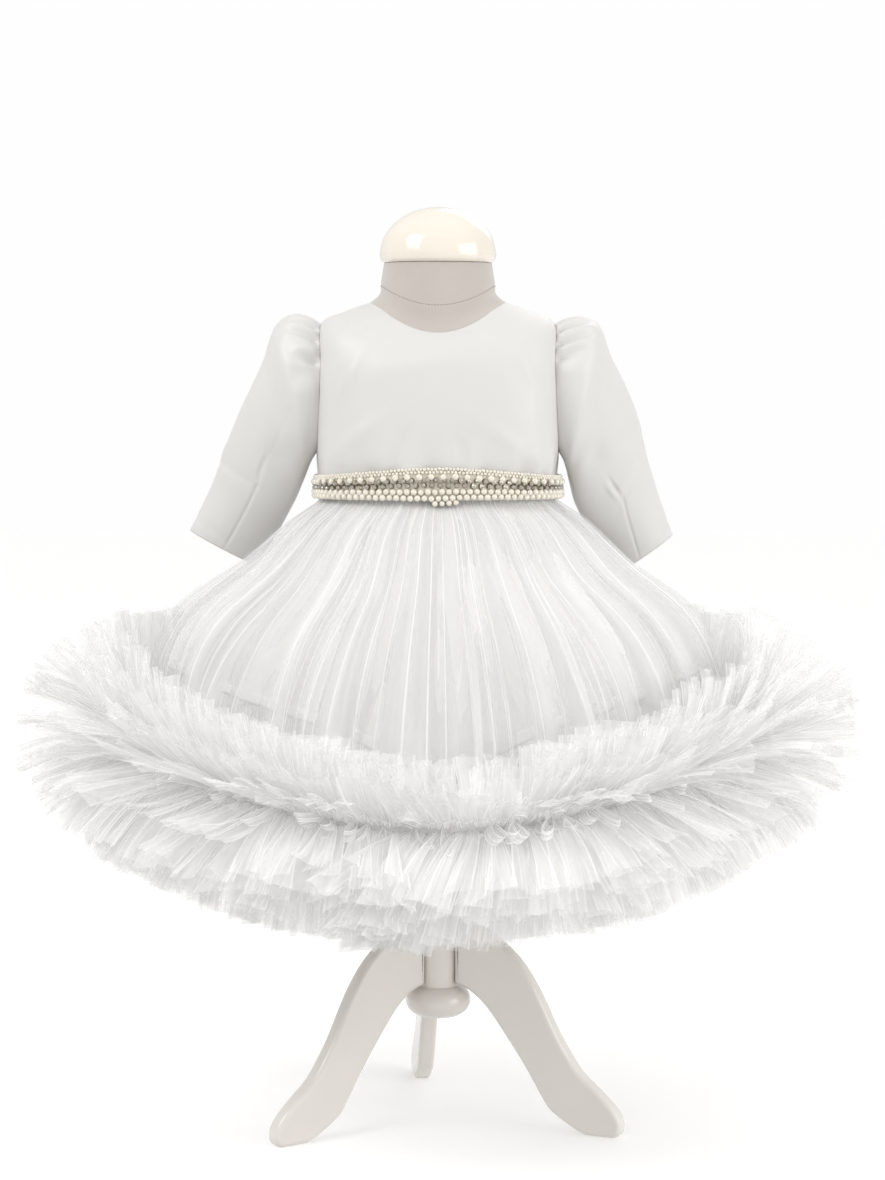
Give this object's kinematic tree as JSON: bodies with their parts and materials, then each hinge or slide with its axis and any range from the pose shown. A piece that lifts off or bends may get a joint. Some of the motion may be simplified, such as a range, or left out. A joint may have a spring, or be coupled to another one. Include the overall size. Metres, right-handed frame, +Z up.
{
  "type": "christening gown on a dress form",
  "caption": "Child's satin and tulle christening gown with a pearl belt and a thick ruffled hem, worn by a limbless form on a three-legged stand.",
  "frame": {"origin": "on the floor under the middle of the gown and the post, at the middle of the overall box's underside", "axes": "+Z up, -Y towards the front of the gown, +X towards the viewer's right when facing the front"},
  "size_m": [0.6762, 0.6151, 0.735],
  "materials": {
    "satin": "white duchess satin with a soft sheen",
    "tulle": "sheer white tulle in many layers",
    "pearl": "cream pearls with dark gold set stones",
    "jersey": "matt beige cotton jersey",
    "cap": "glossy cream",
    "lacquer": "ivory gloss lacquer on wood"
  },
  "bodies": {
    "root": {"bodice_front": "satin", "bodice_back_left": "satin", "bodice_back_right": "satin", "sleeve_left": "satin", "sleeve_right": "satin", "underskirt_front": "satin", "underskirt_back": "satin", "skirt_front": "tulle", "skirt_back": "tulle", "ruffle_spine": "tulle", "ruffle_top_front": "tulle", "ruffle_top_back": "tulle", "ruffle_upper_front": "tulle", "ruffle_upper_back": "tulle", "ruffle_lower_front": "tulle", "ruffle_lower_back": "tulle", "ruffle_bottom_front": "tulle", "ruffle_bottom_back": "tulle", "belt": "pearl", "form_body": "jersey", "form_cap": "cap", "post": "lacquer", "post_ball": "lacquer", "leg_left": "lacquer", "leg_right": "lacquer", "leg_back": "lacquer"}
  },
  "joints": []
}
